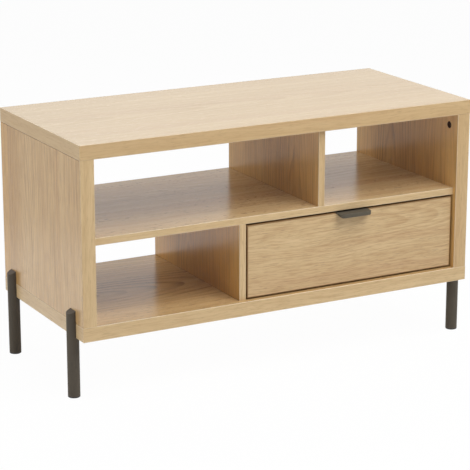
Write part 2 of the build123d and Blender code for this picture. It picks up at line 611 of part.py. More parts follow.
with BuildPart() as drawer_front_edging:
    tall = FRONT_TOP - FRONT_LOW - 2 * BAND - 2 * SEAM
    half = (FRONT_RIGHT - FRONT_LEFT - PULL_WIDE) / 2 - PULL_FIT
    mid_y = FACE_Y + INNER / 2
    band((FRONT_LEFT, mid_y, FRONT_LOW + BAND), (1, 0, 0), DOWN, FRONT_RIGHT - FRONT_LEFT, INNER)
    band((FRONT_LEFT, mid_y, FRONT_TOP - BAND), (1, 0, 0), UP, half, INNER)
    band((FRONT_RIGHT - half, mid_y, FRONT_TOP - BAND), (1, 0, 0), UP, half, INNER)
    band((FRONT_LEFT + BAND, mid_y, FRONT_LOW + BAND + SEAM), UP, (-1, 0, 0), tall, INNER)
    band((FRONT_RIGHT - BAND, mid_y, FRONT_LOW + BAND + SEAM), UP, (1, 0, 0), tall, INNER)
save(drawer_front_edging, "drawer_front_edging")

# Drawer sides: cams outside at the front, groove inside for the bottom
for side, s, wall in RUNS:
    outer = wall - s * RUN
    with BuildPart() as drawer_side:
        with BuildSketch(Plane.XY.offset(BOX_Z)):
            with Locations((outer - s * BOX / 2, (BOX_Y + BOX_REAR) / 2)):
                Rectangle(BOX, BOX_DEEP)
        extrude(amount=BOX_HIGH)
        arris = drawer_side.edges().filter_by(Axis.Y).group_by(Axis.Z)[0].sort_by(Axis.X)
        chamfer(arris[-1] if s > 0 else arris[0], BOX_ARRIS)
        with BuildSketch(Plane.XY.offset(BOTTOM_Z)):
            with Locations((outer - s * (BOX - GROOVE / 2), (BOX_Y + BOX_REAR) / 2)):
                Rectangle(GROOVE, BOX_DEEP)
        extrude(amount=SHEET + SHEET_FIT, mode=Mode.SUBTRACT)
        front_y = BOX_Y + BOX_CAM_IN
        bore((s, 0, 0), BOX_CAM_R + FIT, BOX_CAM_DEEP, [(outer, front_y, z) for z in BOX_CAM_ZS])
        ends = [(outer - s * BOX / 2, BOX_Y, z) for z in BOX_CAM_ZS]
        bore((0, -1, 0), BOX_BOLT_R + FIT, BOX_CAM_IN, ends)
        bore((0, -1, 0), DOWEL_R + FIT, DOWEL_END, [(outer - s * BOX / 2, BOX_Y, BOX_DOWEL_Z)])
        bore((s, 0, 0), PIN_SCREW_R + FIT, PIN_LONG, [(outer, y, PROFILE_SCREW_Z) for y in PROFILE_SCREW_YS])
        with Locations(*places((s, 0, 0), [(outer, BOX_REAR - BOX / 2, z) for z in BOX_CAM_ZS])):
            CounterSinkHole(PIN_SCREW_R + FIT, 2 * PIN_SCREW_R + FIT)
    save(drawer_side, f"drawer_{side}_side")

with BuildPart() as drawer_back:
    with BuildSketch(Plane.XY.offset(BOX_Z)):
        with Locations((BOX_MID, BOX_REAR - BOX / 2)):
            Rectangle(BOX_INNER, BOX)
    extrude(amount=BOX_HIGH)
    with BuildSketch(Plane.XY.offset(BOTTOM_Z)):
        with Locations((BOX_MID, BOX_REAR - BOX + GROOVE / 2)):
            Rectangle(BOX_INNER, GROOVE)
    extrude(amount=SHEET + SHEET_FIT, mode=Mode.SUBTRACT)
    for _, s in SIDES:
        ends = [(BOX_MID + s * BOX_INNER / 2, BOX_REAR - BOX / 2, z) for z in BOX_CAM_ZS]
        bore((s, 0, 0), PIN_SCREW_R + FIT, 2 * BOX, ends)
save(drawer_back, "drawer_back")

with BuildPart() as drawer_bottom:
    with BuildSketch(Plane.XY.offset(BOTTOM_Z)):
        with Locations((BOX_MID, (BOX_Y + BOX_REAR - BOX) / 2)):
            Rectangle(BOX_INNER + 2 * GROOVE - 2 * SHEET_FIT, BOX_DEEP - BOX + 2 * GROOVE - 2 * SHEET_FIT)
    extrude(amount=SHEET)
save(drawer_bottom, "drawer_bottom")

# Drawer fasteners
with BuildPart() as drawer_cams:
    for side, s, wall in RUNS:
        for z in BOX_CAM_ZS:
            spot = Plane((wall - s * RUN, BOX_Y + BOX_CAM_IN, z), x_dir=(0, -1, 0), z_dir=(s, 0, 0))
            with Locations(spot):
                Cylinder(BOX_CAM_R, BOX_CAM_DEEP, align=HIGH_END)
                with Locations((BOX_CAM_R, 0, -BOX / 2)):
                    Cylinder(
                        BOX_BOLT_R + 3 * FIT,
                        1.5 * BOX_CAM_R,
                        rotation=(0, -90, 0),
                        align=LOW_END,
                        mode=Mode.SUBTRACT,
                    )
save(drawer_cams, "drawer_cams")

BOX_JOINTS = [(x, BOX_Y, z) for x in (BOX_LEFT + BOX / 2, BOX_RIGHT - BOX / 2) for z in BOX_CAM_ZS]
with BuildPart() as drawer_cam_bolts:
    with Locations(*places((0, 1, 0), BOX_JOINTS)):
        Cylinder(BOX_THREAD_R, THREAD_IN, align=HIGH_END)
        Cylinder(BOX_BOLT_R, BOX_CAM_IN, align=LOW_END)
save(drawer_cam_bolts, "drawer_cam_bolts")

with BuildPart() as drawer_dowels:
    joints = [(x, BOX_Y - DOWEL_FACE, BOX_DOWEL_Z) for x in (BOX_LEFT + BOX / 2, BOX_RIGHT - BOX / 2)]
    with Locations(*places((0, 1, 0), joints)):
        Cylinder(DOWEL_R, DOWEL_FACE + DOWEL_END, align=LOW_END)
save(drawer_dowels, "drawer_dowels")

with BuildPart() as drawer_back_screws:
    for side, s, wall in RUNS:
        points = [(wall - s * RUN, BOX_REAR - BOX / 2, z) for z in BOX_CAM_ZS]
        with Locations(*places((-s, 0, 0), points)):
            Cylinder(PIN_SCREW_R, 3 * BOX, align=LOW_END)
            Cone(2 * PIN_SCREW_R, PIN_SCREW_R, PIN_SCREW_R, align=LOW_END)
save(drawer_back_screws, "drawer_back_screws")

# Handle: lip in front, plate through the notch, flange behind the drawer front
with BuildPart() as drawer_handle:
    with BuildSketch(Plane.XY.offset(FRONT_TOP)) as plan:
        with Locations((FRONT_MID_X, FACE_Y - PULL_OUT)):
            Rectangle(PULL_WIDE, PULL_OUT, align=(Align.CENTER, Align.MIN))
        fillet(plan.vertices().group_by(Axis.Y)[0], PULL_ROUND)
    extrude(amount=-PULL_DROP)
    fillet(drawer_handle.faces().sort_by(Axis.Z)[-1].edges().sort_by(Axis.Y)[:-1], PULL_WALL)
    with BuildSketch(Plane.XY.offset(FRONT_TOP - PULL_WALL)) as hollow:
        with Locations((FRONT_MID_X, FACE_Y - PULL_OUT + PULL_WALL)):
            Rectangle(PULL_WIDE - 2 * PULL_WALL, PULL_OUT, align=(Align.CENTER, Align.MIN))
        fillet(hollow.vertices().group_by(Axis.Y)[0], PULL_ROUND - PULL_WALL)
    extrude(amount=-PULL_DROP, mode=Mode.SUBTRACT)
    with BuildSketch(Plane.YZ.offset(FRONT_MID_X)):
        with BuildLine():
            Polyline(
                (FACE_Y, FRONT_TOP - PULL_WALL),
                (FACE_Y - PULL_OUT / 3, FRONT_TOP - PULL_WALL),
                (FACE_Y - PULL_OUT + PULL_WALL, FRONT_TOP - PULL_DROP),
                (FACE_Y - PULL_OUT, FRONT_TOP - 2 * PULL_DROP),
                (FACE_Y, FRONT_TOP - 2 * PULL_DROP),
                close=True,
            )
        make_face()
    extrude(amount=PULL_WIDE, both=True, mode=Mode.SUBTRACT)
    with BuildSketch(Plane.YZ.offset(FRONT_MID_X)):
        with Locations((FACE_Y, FRONT_TOP)):
            Rectangle(INNER + PULL_WALL, PULL_WALL, align=(Align.MIN, Align.MAX))
        with Locations((BOX_Y, FRONT_TOP)):
            Rectangle(PULL_WALL, PULL_FLANGE, align=(Align.MIN, Align.MAX))
    extrude(amount=PULL_WIDE / 2, both=True)
    bore((0, 1, 0), PIN_SCREW_R + FIT, PULL_WALL, [(x, BOX_Y + PULL_WALL, z) for x, _, z in pins])
save(drawer_handle, "drawer_handle")

with BuildPart() as handle_screws:
    with Locations(*places((0, 1, 0), [(x, BOX_Y + PULL_WALL, z) for x, _, z in pins])):
        Cylinder(PIN_SCREW_R, PIN_LONG + PULL_WALL, align=HIGH_END)
        Cylinder(PIN_HEAD_R, PIN_HEAD, align=LOW_END)
save(handle_screws, "handle_screws")
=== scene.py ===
"""Looks of a low TV stand: oak foil boards, dark legs, one drawer on roller runners, and its studio."""

import math

import bpy
import numpy as np
from bpy.props import FloatProperty, FloatVectorProperty, PointerProperty
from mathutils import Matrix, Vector


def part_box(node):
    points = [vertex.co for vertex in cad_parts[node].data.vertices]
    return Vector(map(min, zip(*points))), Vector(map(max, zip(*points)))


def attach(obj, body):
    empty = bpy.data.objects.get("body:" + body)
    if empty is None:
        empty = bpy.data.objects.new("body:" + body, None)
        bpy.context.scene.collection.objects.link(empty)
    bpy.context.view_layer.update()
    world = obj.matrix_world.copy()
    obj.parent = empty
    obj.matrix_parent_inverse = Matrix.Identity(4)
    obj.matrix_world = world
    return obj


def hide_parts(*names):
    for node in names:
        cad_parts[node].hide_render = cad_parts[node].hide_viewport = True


bl_info = {
    "name": "TV stand looks",
    "version": (1, 0, 0),
    "blender": (4, 5, 0),
    "location": "View3D > Sidebar > TV stand",
    "description": "Dresses the boards, legs, drawer, runners and fittings of a TV stand and sets its studio",
    "category": "Object",
}

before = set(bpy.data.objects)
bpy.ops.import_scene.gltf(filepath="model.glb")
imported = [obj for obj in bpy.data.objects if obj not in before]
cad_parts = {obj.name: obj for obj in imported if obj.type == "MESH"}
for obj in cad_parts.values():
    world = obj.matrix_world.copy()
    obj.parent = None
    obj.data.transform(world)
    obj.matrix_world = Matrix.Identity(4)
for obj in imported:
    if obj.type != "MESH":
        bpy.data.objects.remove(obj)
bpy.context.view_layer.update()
IMAGE_SIDE = 470
AXIS = {"X": 0, "Y": 1, "Z": 2}

# Streaks of the oak print: length, width or the setting that holds it, step of the seed, detail of the noise, and the
# noise values between which the streak fades in; lengths in metres
OAK_STREAKS = {
    "tone": (1.7, "band", 0, 1.5, 0.36, 0.64),
    "cloud": (0.5, 0.09, 3, 2.0, 0.3, 0.7),
    "blush": (1.1, 0.04, 29, 2.0, 0.5, 0.72),
    "thread": (0.15, "thread", 5, 2.0, 0.4, 0.75),
    "fleck": (0.04, "fleck", 7, 3.0, 0.42, 0.7),
    "pore": (0.02, "pore_width", 11, 1.0, 0.6, 0.72),
    "vigour": (0.3, 0.03, 23, 2.0, 0.35, 0.75),
    "cluster": (0.5, 0.04, 37, 2.0, 0.42, 0.6),
    "speck": (0.014, 0.005, 31, 1.0, 0.6, 0.7),
}
GRAIN_SWING = 0.025
PITH_SWING = 0.04
PITH_DIP = 0.012

# Places across a board or band where a pattern begins and is full, in metres
HAIRLINE = (-0.0006, -0.0001)
STRIPE_FADE = (-0.04, 0.03)
STRIPE_EDGE = (0.053, 0.059)
BAND_END = (-0.0017, -0.0016)
CAP_SKIN = (-0.0012, -0.0002)

# Softboxes: place, side in metres, and whether the satin top mirrors them
SOFTBOXES = {
    "key": ((0.5, -1.5, 2.55), 2.1, True),
    "rear_top": ((0, 1.6, 2.2), 2.0, True),
    "left": ((-3.2, 0.2, 1.3), 2.2, False),
    "left_low": ((-2.8, 1.2, 0.75), 1.4, False),
    "right": ((3.2, -0.5, 1.3), 2.2, False),
    "front": ((-0.6, -2.6, 0.6), 1.1, False),
}
LAMP_AIM = Vector((0, 0, 0.3))
FLOOR_REACH = 9
FLOOR_POINTS = 7
POOL_FADE = (1.1, 1.45)
SENSOR = 36


# Settings


def linear(byte):
    """One sRGB byte as scene light: the power 2.4 curve with its straight toe."""
    share = byte / 255
    return share / 12.92 if share <= 0.04045 else ((share + 0.055) / 1.055) ** 2.4


def colour_setting(name, description, *srgb):
    """A colour property whose default is written in sRGB bytes."""
    default = tuple(linear(byte) for byte in srgb)
    return FloatVectorProperty(
        name=name, description=description, subtype="COLOR", size=3, min=0, max=1, default=default
    )


def length_setting(name, description, default):
    """A length property in metres."""
    return FloatProperty(name=name, description=description, default=default, min=0, subtype="DISTANCE", unit="LENGTH")


def power_setting(name, description, default):
    """A light's power in watts."""
    return FloatProperty(name=name, description=description, default=default, min=0, subtype="POWER", unit="POWER")


class OakSettings(bpy.types.PropertyGroup):
    """Colours and grain sizes of the oak foil and its edge bands"""

    pale: colour_setting("Pale wood", "Lightest tone of the foil", 212, 185, 141)
    tan: colour_setting("Tan wood", "Tone of the warmer bands between the pale ones", 192, 160, 115)
    rose: colour_setting("Rosy wood", "Tone of the reddish stripes", 188, 148, 108)
    late: colour_setting("Late wood", "Darker lines at the end of each growth ring", 158, 119, 73)
    pore: colour_setting("Pores", "Short dark pore lines", 112, 80, 47)
    # Painted sheen: the top's paler tone stands for the reflection of the bright studio on its satin face.
    painted_top_sheen: colour_setting("Bleached wood", "Tone of the paler print of the top", 226, 207, 176)
    # Painted highlight: the pale tone along the rounded corners of the edge bands, where they catch the light.
    pale_and_highlight: colour_setting("Rubbed edge", "Tone of the worn corners of the edge bands", 242, 228, 200)
    # On the faces inside the bays this tone is painted bounce light, the warmer and deeper colour of light bounced
    # between oak walls; on the left side and its stripe it is the print.
    honey: colour_setting("Honey wood", "Tone of the warmer print of the boards inside", 224, 175, 100)
    # This colour also tints the drawer front's edge bands dark brown: painted shade for the gaps round the drawer.
    glue_and_gap_shade: colour_setting("Glue line", "Hairline where a board meets its edge band", 90, 45, 6)
    ring: length_setting("Growth ring", "Width of one growth ring", 0.0075)
    band: length_setting("Tone band", "Width of the bands of different tone", 0.017)
    thread: length_setting("Thread", "Width of the fine dark lines along the grain", 0.005)
    fleck: length_setting("Fleck", "Width of the fine flecks along the grain", 0.0024)
    pore_width: length_setting("Pore width", "Width of one pore line", 0.0009)
    pore_depth: length_setting("Pore depth", "Depth of the embossed pores", 0.00006)
    # Width of the painted highlight along the rounded corner of an edge band.
    arris: length_setting("Arris", "Width of the rubbed corner of an edge band", 0.0013)
    gloss: FloatProperty(name="Gloss", description="Specular level of the foil", default=0.35, min=0, max=1)


class FinishSettings(bpy.types.PropertyGroup):
    """Colours of the metal, plastic and fibreboard pieces"""

    coat: colour_setting("Powder coat", "Warm dark grey of legs and plates", 75, 68, 58)
    pull: colour_setting("Handle coat", "Dark grey of the handle", 82, 76, 64)
    # Paler coat of the random mottling, dust and handled patches, and of the painted highlight on the top of the leg
    # caps.
    pale_and_highlight: colour_setting("Rubbed coat", "Paler coat along worn rims", 120, 112, 104)
    zinc: colour_setting("Zinc", "Bright zinc plate", 188, 190, 190)
    cam: colour_setting("Cam metal", "Dark die-cast metal of the cam discs", 50, 26, 9)
    nylon: colour_setting("Nylon", "Moulded rollers", 226, 224, 216)
    plastic: colour_setting("Black plastic", "Moulded glides", 34, 32, 31)
    fibre: colour_setting("Fibreboard", "Raw side of the thin fibreboard", 146, 106, 68)
    beech: colour_setting("Beech", "Turned dowels", 214, 180, 138)


class FittingSettings(bpy.types.PropertyGroup):
    """Sizes of the worked details on cams, screws and leg caps"""

    cross_width: length_setting("Cross width", "Width of the slots in a cam's cross recess", 0.0016)
    cross_depth: length_setting("Cross depth", "Depth of a cam's cross recess", 0.0022)
    rim: length_setting("Rim", "Width of the raised rim round a cam's face", 0.0011)
    chamfer: length_setting("Chamfer", "Chamfer round cams and screw heads", 0.0004)
    pitch: length_setting("Thread pitch", "Distance between screw threads", 0.0018)
    head: length_setting("Head height", "Height of a pan head", 0.0012)
    cap_drop: length_setting("Leg cap drop", "How far a leg's slanted cap falls outwards", 0.006)


class StageSettings(bpy.types.PropertyGroup):
    """Camera and light of the studio"""

    place: FloatVectorProperty(
        name="Camera place", description="Where the camera stands", subtype="TRANSLATION", unit="LENGTH",
        default=(-1.9419, -3.5679, 1.3768),
    )
    turn: FloatProperty(
        name="Camera turn", description="Camera heading to the right of straight ahead", subtype="ANGLE",
        default=math.radians(28.49),
    )
    tilt: FloatProperty(
        name="Camera tilt", description="How far the camera looks down", subtype="ANGLE",
        default=math.radians(15.70),
    )
    focal: FloatProperty(
        name="Focal length", description="Focal length in pixels of the square image", default=1986.2, min=1
    )
    key: power_setting("Key light", "Softbox overhead in front", 67)
    rear_top: power_setting("Rear top light", "Softbox overhead behind", 22.5)
    left: power_setting("Left light", "Softbox at the left", 34)
    left_low: power_setting("Low left light", "Softbox low at the left behind", 7.5)
    right: power_setting("Right light", "Softbox at the right", 25)
    front: power_setting("Front light", "Small softbox low in front", 7.8)
    ambient: FloatProperty(name="Ambient", description="Strength of the light from all round", default=0.02, min=0)
    veil: FloatProperty(
        name="Floor veil", description="Share of the floor that shows as plain white", default=0.975, min=0, max=1
    )
    pool: FloatProperty(
        name="Floor pool", description="Mirrored brightness of the floor near the stand", default=1.5, min=0
    )


class StandSettings(bpy.types.PropertyGroup):
    """All settings of the TV stand"""

    oak: PointerProperty(type=OakSettings)
    finish: PointerProperty(type=FinishSettings)
    fitting: PointerProperty(type=FittingSettings)
    stage: PointerProperty(type=StageSettings)


# Shader wires


class Wire:
    """An output socket of a shader tree; arithmetic on wires adds Math nodes to that tree."""

    def __init__(self, tree, socket=None):
        self.tree = tree
        self.socket = socket

    def node(self, kind, settings=None, inputs=None, output=0):
        """Adds a node of a type: its settings first, then the values or links of its sockets."""
        made = self.tree.nodes.new(kind)
        for name, value in (settings or {}).items():
            setattr(made, name, value)
        for key, value in (inputs or {}).items():
            if isinstance(value, Wire):
                self.tree.links.new(value.socket, made.inputs[key])
            else:
                made.inputs[key].default_value = value
        return Wire(self.tree, made.outputs[output] if made.outputs else None)

    def math(self, operation, *values):
        """One Math node on these values."""
        return self.node("ShaderNodeMath", {"operation": operation}, dict(enumerate(values)))

    def __add__(self, other):
        return self.math("ADD", self, other)

    __radd__ = __add__

    def __sub__(self, other):
        return self.math("SUBTRACT", self, other)

    def __rsub__(self, other):
        return self.math("SUBTRACT", other, self)

    def __mul__(self, other):
        return self.math("MULTIPLY", self, other)

    __rmul__ = __mul__

    def __truediv__(self, other):
        return self.math("DIVIDE", self, other)

    def __pow__(self, other):
        return self.math("POWER", self, other)

    def __abs__(self):
        return self.math("ABSOLUTE", self)

    def fraction(self):
        """What is left over above the whole number below."""
        return self.math("FRACT", self)

    def larger(self, other):
        """The larger of two values."""
        return self.math("MAXIMUM", self, other)

    def step(self, low, high):
        """Smooth step: 0 below low, 1 above high."""
        inputs = {"Value": self, "From Min": low, "From Max": high}
        return self.node("ShaderNodeMapRange", {"interpolation_type": "SMOOTHSTEP"}, inputs)

    def mix(self, first, second):
        """Colour mix by this wire, from the first colour at 0 to the second at 1."""
        inputs = {0: self, 6: first, 7: second}
        return self.node("ShaderNodeMix", {"data_type": "RGBA"}, inputs, output=2)


def rgba(colour):
    """A colour property as a socket value."""
    return (*colour, 1.0)


def new_material(name):
    """An empty node material and a wire with the piece's own Object coordinates."""
    material = bpy.data.materials.new(name)
    material.use_nodes = True
    material.node_tree.nodes.clear()
    return material, Wire(material.node_tree).node("ShaderNodeTexCoord", output=3)


def centred(coordinates, box, order):
    """The coordinates from a box's middle, as three wires in the order along, across and through the grain."""
    middle = (box[0] + box[1]) / 2
    moved = coordinates.node("ShaderNodeMapping", {}, {"Vector": coordinates, "Location": -middle})
    return tuple(
        moved.node("ShaderNodeSeparateXYZ", {}, {"Vector": moved}, output=AXIS[letter]) for letter in order
    )


def streaks(axes, length, width, shift=0.0, detail=2.0):
    """Noise drawn out along the grain, in cells about this long and wide in metres."""
    along, across, through = axes
    inputs = {"X": along / length + shift, "Y": across / width, "Z": through / width + shift}
    place = along.node("ShaderNodeCombineXYZ", {}, inputs)
    return along.node("ShaderNodeTexNoise", {}, {"Vector": place, "Scale": 1.0, "Detail": detail})


def grains(coordinates, size, detail=2.0):
    """Even noise in cells of this size in metres."""
    inputs = {"Vector": coordinates, "Scale": 1 / size, "Detail": detail}
    return coordinates.node("ShaderNodeTexNoise", {}, inputs)


def surface(material, colour, roughness, height=None, depth=0.0001, **fixed):
    """Ends a material with one Principled surface; a height from 0 to 1 times the depth in metres is its bump."""
    wire = Wire(material.node_tree)
    inputs = {"Base Color": colour, "Roughness": roughness}
    inputs.update({name.replace("_", " "): value for name, value in fixed.items()})
    if height is not None:
        inputs["Normal"] = wire.node("ShaderNodeBump", {}, {"Height": height, "Distance": depth, "Strength": 0.6})
    shader = wire.node("ShaderNodeBsdfPrincipled", {}, inputs)
    wire.node("ShaderNodeOutputMaterial", {}, {"Surface": shader})
    return material


# Materials


def oak_streak(kind, axes, look, seed):
    """One kind of streak of the oak print, from 0 to 1."""
    length, width, shift, detail, low, high = OAK_STREAKS[kind]
    if isinstance(width, str):
        width = getattr(look, width)
    return streaks(axes, length, width, seed + shift, detail).step(low, high)


def oak_pattern(axes, look, seed, tint=None, pith=None, ring=None, lines=1.0, flecks=1.0, threads=1.0, bands=1.0,
                specks=0.0):
    """Colour, flecks and pores of oak along three axes.

    A growth ring is one ring width of the distance to a pith line that slopes and bows through the log, so a board
    that is cut near the pith shows arched lines. Bands, threads, flecks, specks and pores are noise drawn out along
    the grain, which waves a little. A tint is a colour and the share of it mixed in: on some pieces the print's tone,
    and on others painted light and shade, such as the sheen of the top, the bounce light inside the bays and the
    shade on the drawer front's edge bands.
    """
    along, across, through = axes
    wave = streaks(axes, 0.25, 0.07, seed + 41, 1.0) - 0.5
    axes = along, across + wave * GRAIN_SWING, through
    tone, cloud, blush, thread, fleck, pore = (
        oak_streak(kind, axes, look, seed) for kind in ("tone", "cloud", "blush", "thread", "fleck", "pore")
    )
    colour = (tone * 0.5 * bands + cloud * 0.3).mix(rgba(look.pale), rgba(look.tan))
    colour = (blush * 0.35).mix(colour, rgba(look.rose))
    if tint:
        shade, share = tint
        colour = (share - 0.1 * fleck).mix(colour, rgba(shade))
    colour = (thread * 0.25 * threads).mix(colour, rgba(look.late))
    if pith:
        side, deep, slope, bow = pith
        sway = streaks(axes, 0.3, 0.06, seed + 17, 3.0) - 0.5
        over = across - side + sway * PITH_SWING
        below = through + deep + along * slope + along * along * bow + sway * PITH_DIP
        growth = ((over * over + below * below) ** 0.5 / (ring or look.ring)).fraction()
        late = growth.step(0.3, 0.9) * (1 - growth.step(0.92, 1.0)) * (1 - 0.65 * abs(over).step(0.03, 0.1))
        vigour = oak_streak("vigour", axes, look, seed)
        colour = (late * (0.12 + 0.45 * vigour) * min(lines, 1.5)).mix(colour, rgba(look.late))
        colour = (late * vigour * 0.5 * max(lines - 1, 0)).mix(colour, rgba(look.pore))
        pore = pore * (1 - 0.5 * late)
    if specks:
        speck = oak_streak("speck", axes, look, seed) * oak_streak("cluster", axes, look, seed)
        colour = (speck * 0.6 * specks).mix(colour, rgba(look.pore))
    colour = (fleck * 0.16 * flecks).mix(colour, rgba(look.late))
    colour = (pore * 0.22 * flecks).mix(colour, rgba(look.pore))
    return colour, fleck, pore


def oak_board(node, order, look, seed, stripe=None, inner=None, **grain):
    """Oak foil on a board: grain in the given order of axes, a glue hairline round its border, satin embossed pores.

    From a stripe's place across the grain on the wood is warmer, and most so along the far edge. Where the inner face
    is on one side of the board's middle, given by its sign, only that face has the tint: painted bounce light inside
    the bays.
    """
    material, coordinates = new_material("oak_" + node)
    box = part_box(node)
    axes = centred(coordinates, box, order)
    if inner:
        shade, share = grain["tint"]
        grain["tint"] = shade, (axes[2] * inner).step(0, 0.002) * share
    colour, fleck, pore = oak_pattern(axes, look, seed, **grain)
    if stripe:
        warm = axes[1].step(*(stripe + place for place in STRIPE_FADE))
        colour = (warm * 0.38).mix((warm * 0.3).mix(colour, rgba(look.honey)), rgba(look.late))
        edge = axes[1].step(*(stripe + place for place in STRIPE_EDGE))
        colour = (edge * 0.35).mix(colour, rgba(look.honey))
        colour = (warm * fleck * 0.4).mix(colour, rgba(look.late))
        colour = (warm * pore * 0.3).mix(colour, rgba(look.pore))
    half = [(box[1] - box[0])[AXIS[letter]] / 2 for letter in order]
    border = (abs(axes[0]) - half[0]).larger(abs(axes[1]) - half[1]).step(*HAIRLINE)
    colour = (border * 0.7).mix(colour, rgba(look.glue_and_gap_shade))
    roughness = 0.2 + fleck * 0.04 + pore * 0.1
    height = 1 - pore - fleck * 0.25
    return surface(material, colour, roughness, height, look.pore_depth, Specular_IOR_Level=look.gloss)


def oak_band(node, order, look, seed, tint, cross_order=None, cross_axis=None, gloss=1.0, arris_highlight=0.5):
    """Printed edge band: straight faint streaks along its run, and a painted highlight along its rounded corners.

    Where bands of one node run two ways, the cross order serves those beyond the box's end on the cross axis.
    """
    material, coordinates = new_material("oak_" + node)
    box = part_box(node)
    axes = centred(coordinates, box, order)
    if cross_order:
        end = (box[1] - box[0])[AXIS[cross_axis]] / 2
        turned = centred(coordinates, box, cross_order)
        beyond = abs(centred(coordinates, box, cross_axis)[0]).step(*(end + place for place in BAND_END))
        axes = tuple(straight + beyond * (other - straight) for straight, other in zip(axes, turned))
    colour, fleck, pore = oak_pattern(axes, look, seed, tint, threads=0.6, flecks=1.4, bands=0.75)
    half = (box[1] - box[0])[AXIS[order[1]]] / 2
    # Painted highlight: the rounded corners are painted paler, where they would catch the light, and made a little
    # smoother.
    arris_highlight_mask = abs(axes[1]).step(half - look.arris, half - look.arris / 3)
    colour = (arris_highlight_mask * arris_highlight).mix(colour, rgba(look.pale_and_highlight))
    roughness = 0.32 + fleck * 0.05 + pore * 0.08 - arris_highlight_mask * 0.05
    height = 1 - pore - fleck * 0.25
    return surface(material, colour, roughness, height, look.pore_depth, Specular_IOR_Level=look.gloss * gloss)


def fibreboard(node, order, printed_side, look, finish, seed):
    """Thin fibreboard: printed oak on one face, raw matted fibres on the other."""
    material, coordinates = new_material("fibreboard_" + node)
    axes = centred(coordinates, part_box(node), order)
    print_colour, fleck, pore = oak_pattern(axes, look, seed, None, (0.4, 0.1, 0.02, 0))
    matted = grains(coordinates, 0.0022, 4.0)
    specks = grains(coordinates, 0.0007, 1.0).step(0.6, 0.75)
    raw = (matted.step(0.3, 0.7) * 0.4 + specks * 0.35).mix(rgba(finish.fibre), rgba(look.pore))
    printed = (axes[2] * printed_side).step(0.0, 0.0002)
    colour = printed.mix(raw, print_colour)
    roughness = 0.75 - printed * 0.3 + fleck * 0.05
    return surface(material, colour, roughness, matted * (1 - printed) + printed * (1 - pore), 0.00015)


def beech_dowel(node, finish, look):
    """Turned beech: fine grain with short dark flecks."""
    material, coordinates = new_material("beech_" + node)
    axes = centred(coordinates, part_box(node), "ZXY")
    rays = streaks(axes, 0.004, 0.0006, 2.0, 1.0).step(0.6, 0.72)
    tone = streaks(axes, 0.05, 0.003, 5.0).step(0.3, 0.7)
    colour = (tone * 0.35).mix(rgba(finish.beech), rgba(look.tan))
    colour = (rays * 0.5).mix(colour, rgba(look.late))
    return surface(material, colour, 0.6 + rays * 0.1, tone, 0.00005)


def powder_coat(name, coat, pale_and_highlight, cap=None):
    """Powder-coated steel: fine orange-peel bump, faint mottling, and a painted highlight on a cap if one is given.

    A cap is the height of its slanted plane at a distance from the middle, and the share by which it falls outwards.
    """
    material, coordinates = new_material(name)
    peel = grains(coordinates, 0.0009, 2.0)
    mottle = grains(coordinates, 0.03, 3.0).step(0.3, 0.7)
    dust = grains(coordinates, 0.0004, 0.0).step(0.62, 0.74)
    share = mottle * 0.1 + dust * 0.12
    if cap:
        height, edge, fall = cap
        out, level = (
            coordinates.node("ShaderNodeSeparateXYZ", {}, {"Vector": coordinates}, output=axis) for axis in (0, 2)
        )
        # Painted highlight: the cap's top face is painted paler, as where light falls on it from above.
        share = share + (level + (abs(out) - edge) * fall).step(*(height + place for place in CAP_SKIN)) * 0.5
    colour = share.mix(rgba(coat), rgba(pale_and_highlight))
    return surface(material, colour, 0.66 + mottle * 0.08, peel, 0.00006, Specular_IOR_Level=0.3)


def zinc_plate(name, zinc):
    """Zinc-plated steel: cloudy plating with fine drawn lines."""
    material, coordinates = new_material(name)
    cloud = grains(coordinates, 0.012, 4.0).step(0.3, 0.7)
    drawn = coordinates.node("ShaderNodeMapping", {}, {"Vector": coordinates, "Scale": (1, 0.02, 1)})
    lines = grains(drawn, 0.0006, 2.0)
    dull = tuple(0.62 * value for value in zinc)
    colour = (cloud * 0.5 + lines * 0.2).mix(rgba(zinc), rgba(dull))
    return surface(material, colour, 0.26 + cloud * 0.14 + lines * 0.08, lines, 0.00002, Metallic=1.0)


def cast_metal(name, metal, pale_and_highlight):
    """Dark die-cast metal: grainy skin, paler where it is handled."""
    material, coordinates = new_material(name)
    skin = grains(coordinates, 0.0005, 3.0)
    patch = grains(coordinates, 0.004, 2.0).step(0.5, 0.8)
    colour = (patch * 0.12).mix(rgba(metal), rgba(pale_and_highlight))
    return surface(material, colour, 0.5 + skin * 0.15, skin, 0.00005, Specular_IOR_Level=0.2)


def moulded(name, plastic, roughness):
    """Moulded plastic: fine spark-eroded skin and faint flow marks."""
    material, coordinates = new_material(name)
    skin = grains(coordinates, 0.0006, 2.0)
    flow = grains(coordinates, 0.008, 3.0).step(0.3, 0.7)
    dull = tuple(0.8 * value for value in plastic)
    colour = (flow * 0.4).mix(rgba(plastic), rgba(dull))
    return surface(material, colour, roughness + flow * 0.1, skin, 0.00004)


def dress(material, *nodes):
    """Gives CAD nodes one material."""
    for node in nodes:
        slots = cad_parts[node].data.materials
        slots.clear()
        slots.append(material)


# Fittings as surfaces


